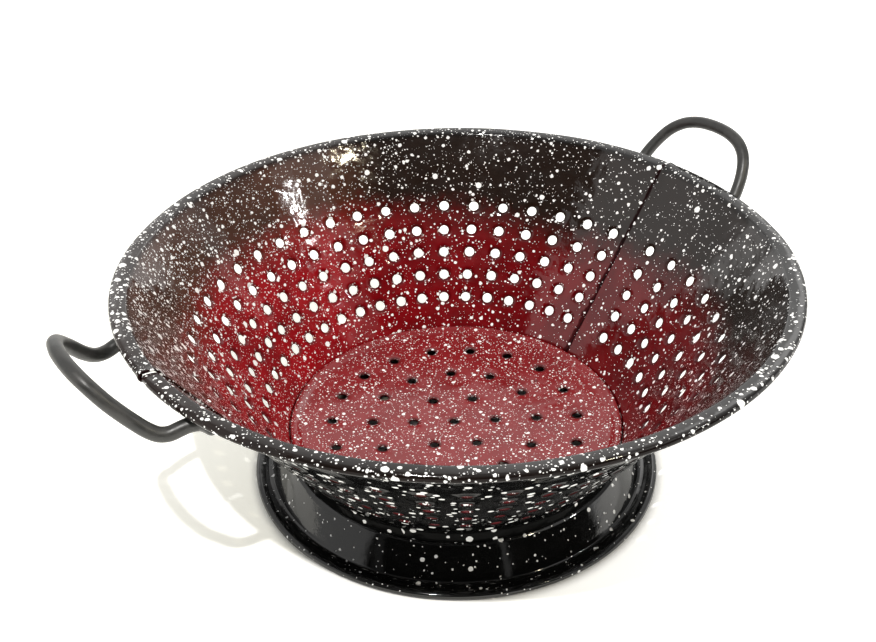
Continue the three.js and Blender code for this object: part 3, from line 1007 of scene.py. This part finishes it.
# ---------------------------------------------------------------- floor, light, camera
floor_mesh = bpy.data.meshes.new("studio_floor")
floor_mesh.from_pydata([(-6, -6, -0.0002), (6, -6, -0.0002), (6, 6, -0.0002), (-6, 6, -0.0002)], [], [(0, 1, 2, 3)])
studio_floor = bpy.data.objects.new("studio_floor", floor_mesh)
bpy.context.scene.collection.objects.link(studio_floor)
studio_floor.data.materials.append(floor_material())

world = bpy.data.worlds.new("studio")
bpy.context.scene.world = world
world.use_nodes = True
g = Graph(world.node_tree)
out = g.node("ShaderNodeOutputWorld")
sky = g.node("ShaderNodeBackground")
g.tree.links.new(sky.outputs[0], out.inputs[0])
parts = g.node("ShaderNodeSeparateXYZ")
g.feed(parts.inputs[0], g.node("ShaderNodeTexCoord").outputs["Generated"])
X, Y, Z = parts.outputs
turn = g.math("MULTIPLY", g.math("ARCTAN2", X, g.math("MULTIPLY", Y, -1.0)), 57.29578)
rise = g.math("MULTIPLY", g.math("ARCSINE", Z), 57.29578)


def between(v, a, b, soft):
    return g.math("MULTIPLY", g.ramp(v, a - soft, a + soft), g.ramp(v, b - soft, b + soft, 1.0, 0.0))


def blend(old, new, mask):
    return g.math("ADD", old, g.math("MULTIPLY", mask, g.math("SUBTRACT", new, old)))


# a dark room on one side of a bright set, with a window and a pale patch near the floor
low_down = g.ramp(rise, 11.0, 15.0, 1.0, 0.0)
level = g.ramp(rise, 30.0, 50.0, 0.01, 0.22)
level = blend(level, g.ramp(rise, 14.0, 36.0, 0.12, 0.42), g.ramp(turn, 46.0, 52.0))
window = g.math("MULTIPLY", between(turn, 20.0, 45.0, 2.5), between(rise, 26.0, 58.0, 2.0))
level = blend(level, g.ramp(rise, 33.5, 38.5, 0.5, 1.0), window)
level = blend(level, 1.6, g.math("MULTIPLY", g.ramp(turn, 46.0, 52.0), low_down))
level = blend(level, g.math("MULTIPLY_ADD", low_down, 0.45, g.ramp(turn, 80.0, 100.0, 0.85, 1.05)), g.ramp(turn, 74.0, 79.0))
# the opposite side of the room begins a little above the horizon
cut = g.math("SUBTRACT", rise, g.ramp(turn, 86.0, 122.0, 16.5, -2.0))
level = blend(level, 0.2, g.math("MULTIPLY", between(turn, 84.0, 128.0, 2.5), g.ramp(cut, -1.2, 1.2, 1.0, 0.0)))
edge = g.ramp(rise, 34.5, 38.5, -86.0, -101.0)
left_back = g.math("MULTIPLY", g.ramp(turn, -172.0, -134.0, 0.70, 1.03), g.ramp(rise, 8.0, 30.0, 0.86, 1.0))
level = blend(level, left_back, g.ramp(g.math("SUBTRACT", turn, edge), -3.0, 3.0, 1.0, 0.0))
level = blend(level, 1.35, g.math("MULTIPLY", between(turn, 128.0, 160.0, 8.0), between(rise, 20.0, 45.0, 6.0)))
behind = g.math("MAXIMUM", g.ramp(turn, -166.0, -161.0, 1.0, 0.0), g.ramp(turn, 162.0, 168.0))
level = blend(level, 1.45, g.math("MULTIPLY", behind, between(rise, 12.0, 24.0, 1.5)))
# two pale surfaces on the far side, seen only in the rim
level = blend(level, 2.0, g.math("MULTIPLY", between(turn, 157.5, 171.0, 2.5), between(rise, 24.5, 32.0, 2.5)))
level = blend(level, 2.7, g.math("MULTIPLY", between(turn, 104.0, 131.0, 2.0), between(rise, 26.5, 40.0, 3.0)))
level = blend(level, 0.55, g.ramp(rise, 58.0, 68.0))
strip = g.math("MULTIPLY", between(turn, -10.4, -6.6, 0.5), g.ramp(rise, 22.0, 30.0, 0.40, 0.0))
strip2 = g.math("MULTIPLY", between(turn, -81.5, -76.5, 1.0), g.ramp(rise, 22.0, 30.0, 0.12, 0.0))
level = g.math("ADD", level, g.math("ADD", strip, strip2))
seen = g.node("ShaderNodeLightPath").outputs["Is Camera Ray"]
level = g.math("ADD", g.math("MULTIPLY", seen, g.math("SUBTRACT", 1.05, level)), level)
sky.inputs[0].default_value = (1.0, 0.995, 0.98, 1.0)
g.feed(sky.inputs[1], level)


def lamp(name, azimuth, elevation, distance, radius, power, tint, aim=(0.0, 0.0, 0.06)):
    data = bpy.data.lights.new(name, "AREA")
    data.shape = "DISK"
    data.size = 2 * radius
    data.energy = power
    data.color = tint
    o = bpy.data.objects.new(name, data)
    a, e = math.radians(azimuth), math.radians(elevation)
    back = Vector((math.sin(a) * math.cos(e), -math.cos(a) * math.cos(e), math.sin(e)))
    o.location = Vector(aim) + back * distance
    o.rotation_euler = back.to_track_quat("Z", "Y").to_euler()
    bpy.context.scene.collection.objects.link(o)
    return o


lamp("key_light", -45, 63, 1.8, 0.022, 32.0, (1.0, 0.98, 0.95), (-0.174, 0.0, 0.125))
lamp("warm_light", 16.5, 46.5, 1.8, 0.034, 4.6, (1.0, 0.90, 0.66))
lamp("fill_light", 42.5, 33.5, 2.2, 0.022, 3.0, (1.0, 1.0, 1.0))

camera = bpy.data.cameras.new("camera")
camera.sensor_fit = "HORIZONTAL"
camera.sensor_width = 36.0
camera.lens = 1096.948 / 876 * 36.0
camera.clip_start = 0.01
camera.dof.use_dof = False
eye = bpy.data.objects.new("camera", camera)
R = Vector((0.81168008, -0.58400096, -0.01087792))
U = Vector((0.31991112, 0.42889604, 0.84481067))
F = Vector((0.48870474, 0.68919596, -0.53495477))
eye.matrix_world = Matrix((
    (R.x, U.x, -F.x, -0.25329061),
    (R.y, U.y, -F.y, -0.34330407),
    (R.z, U.z, -F.z, 0.34823222),
    (0, 0, 0, 1),
))
bpy.context.scene.collection.objects.link(eye)
bpy.context.scene.camera = eye
bpy.context.scene.view_settings.view_transform = "Standard"
bpy.context.scene.view_settings.look = "None"
